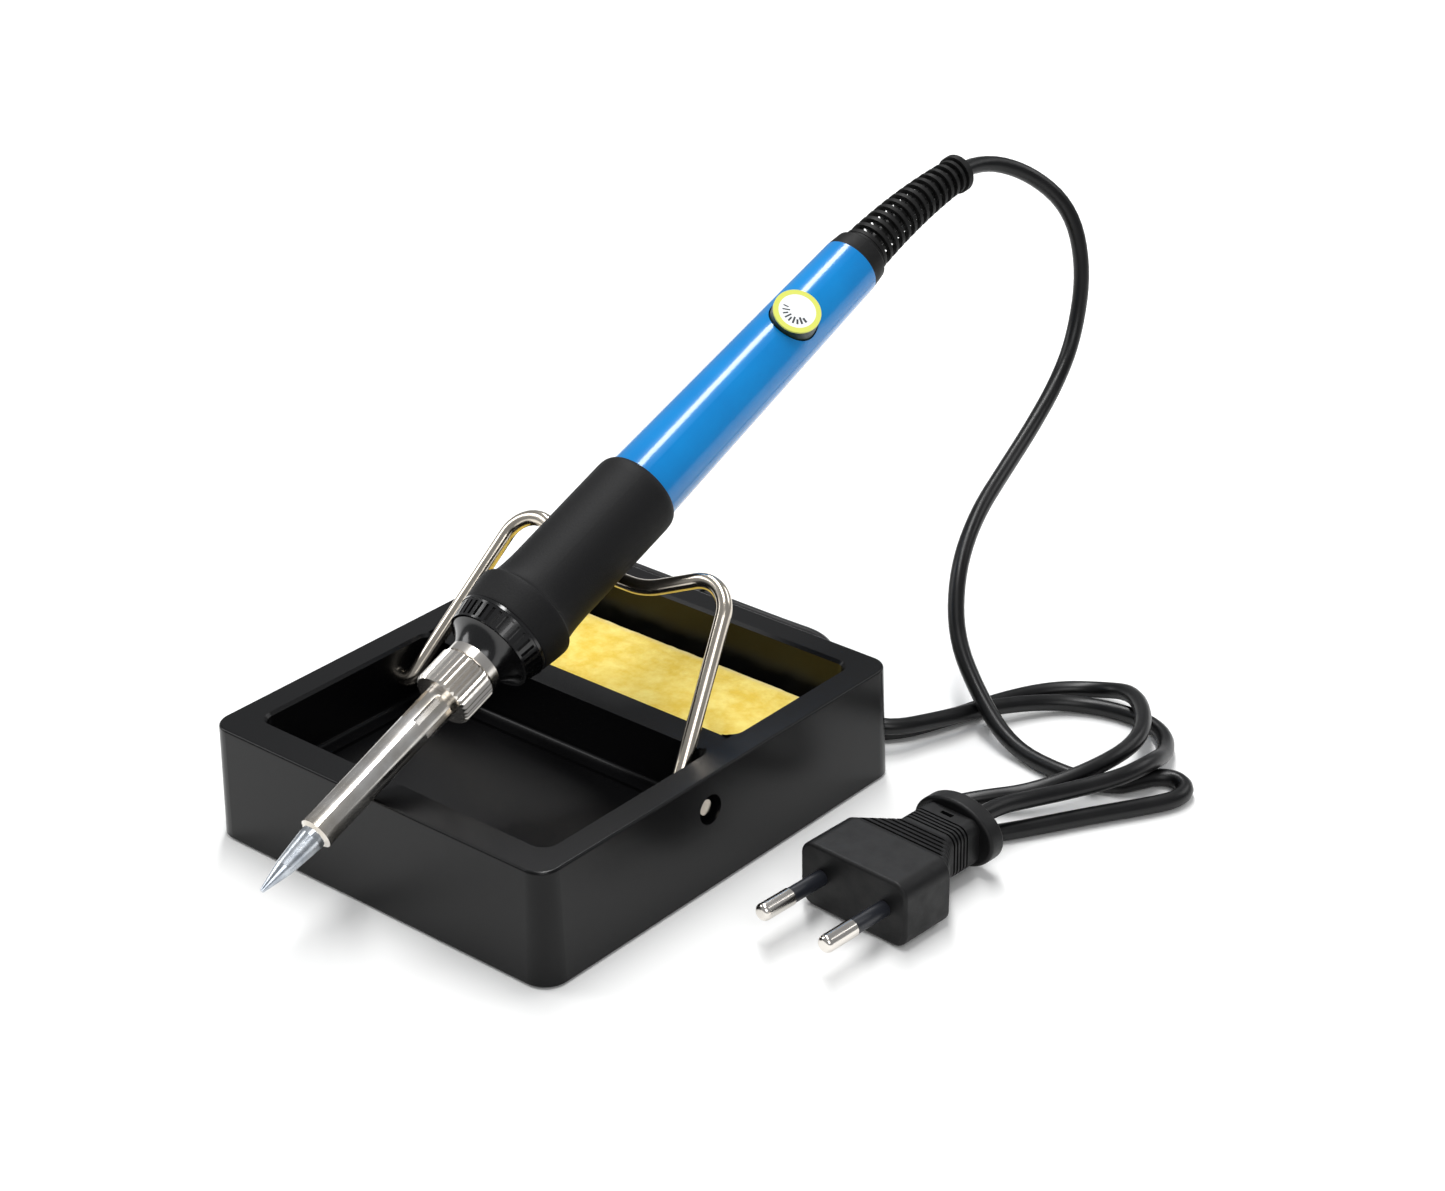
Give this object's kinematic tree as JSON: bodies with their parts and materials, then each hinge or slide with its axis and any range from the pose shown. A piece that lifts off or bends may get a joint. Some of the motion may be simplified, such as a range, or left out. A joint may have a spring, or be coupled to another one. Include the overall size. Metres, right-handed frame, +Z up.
{
  "type": "soldering iron station",
  "caption": "Hand-held mains soldering iron with a temperature knob, lying on a moulded stand with a folding wire holder, a sponge well and a tip tray.",
  "frame": {"origin": "middle of the stand's underside, on its central pad, at the level of the feet", "axes": "+X to the right across the stand, +Y to the rear along the iron, +Z up"},
  "size_m": [0.1859, 0.2652, 0.1123],
  "materials": {
    "base_plastic": "satin",
    "foot_rubber": "matte",
    "nickel_wire": "polished",
    "cellulose": "matte",
    "plated_tip": "satin",
    "nickel_steel": "bright",
    "ceramic": "matte",
    "lead_sleeving": "matte",
    "phenolic": "gloss",
    "grip_rubber": "matte",
    "blue_plastic": "gloss",
    "knob_plastic": "satin",
    "pale_ring": "satin",
    "white_dial": "satin",
    "board": "satin",
    "component": "satin",
    "relief_rubber": "matte",
    "cord_pvc": "satin",
    "tie_plastic": "satin",
    "plug_pvc": "satin",
    "pin_nickel": "polished",
    "pin_insulation": "satin"
  },
  "bodies": {
    "stand": {"base_shell": "base_plastic", "rubber_feet": "foot_rubber"},
    "holder": {"wire_holder": "nickel_wire"},
    "sponge_block": {"sponge": "cellulose"},
    "iron": {"threaded_sleeve": "nickel_steel", "heater_element": "ceramic", "heater_leads": "lead_sleeving", "nose_cap": "phenolic", "grip_sleeve": "grip_rubber", "handle_tube": "blue_plastic", "circuit_board": "board", "potentiometer": "component", "triac": "component", "capacitor": "component", "resistors": "component", "end_collar": "relief_rubber", "strain_relief": "relief_rubber", "inner_cord": "cord_pvc", "core_wires": "lead_sleeving", "cord_iron_side": "cord_pvc", "cord_plug_side": "cord_pvc", "cord_hank": "cord_pvc", "hank_tie": "tie_plastic", "plug_body": "plug_pvc", "plug_pins": "pin_nickel", "pin_sleeves": "pin_insulation"},
    "barrel": {"barrel_tube": "nickel_steel", "soldering_tip": "plated_tip"},
    "nut": {"barrel_nut": "nickel_steel"},
    "knob": {"knob_body": "knob_plastic", "dial_ring": "pale_ring", "dial_face": "white_dial"}
  },
  "joints": [
    {"name": "iron_lift", "type": "slide", "parent": "stand", "child": "iron", "axis": [0, 0, 1], "range_m": [0, 0.1]},
    {"name": "holder_fold", "type": "hinge", "parent": "stand", "child": "holder", "pos_m": [0, -0.006, 0.0195], "axis": [1, 0, 0], "range_deg": [0, 116.9]},
    {"name": "sponge_lift", "type": "slide", "parent": "stand", "child": "sponge_block", "axis": [0, 0, 1], "range_m": [0, 0.017]},
    {"name": "barrel_slide", "type": "slide", "parent": "iron", "child": "barrel", "axis": [0, -0.9302, -0.3672], "range_m": [0, 0.006]},
    {"name": "nut_turn", "type": "hinge", "parent": "barrel", "child": "nut", "pos_m": [0, -0.03276, 0.04199], "axis": [0, -0.9302, -0.3672], "range_deg": [0, 2160.1]},
    {"name": "knob_turn", "type": "hinge", "parent": "iron", "child": "knob", "pos_m": [0, 0.08192, 0.08726], "axis": [0.5446, -0.3079, 0.7801], "range_deg": [-135, 135]}
  ],
  "couplings": [
    {"joint": "holder_fold", "follows": "iron_lift", "rad_per_m": 20.4},
    {"joint": "nut_turn", "follows": "barrel_slide", "rad_per_m": 6283.2}
  ]
}
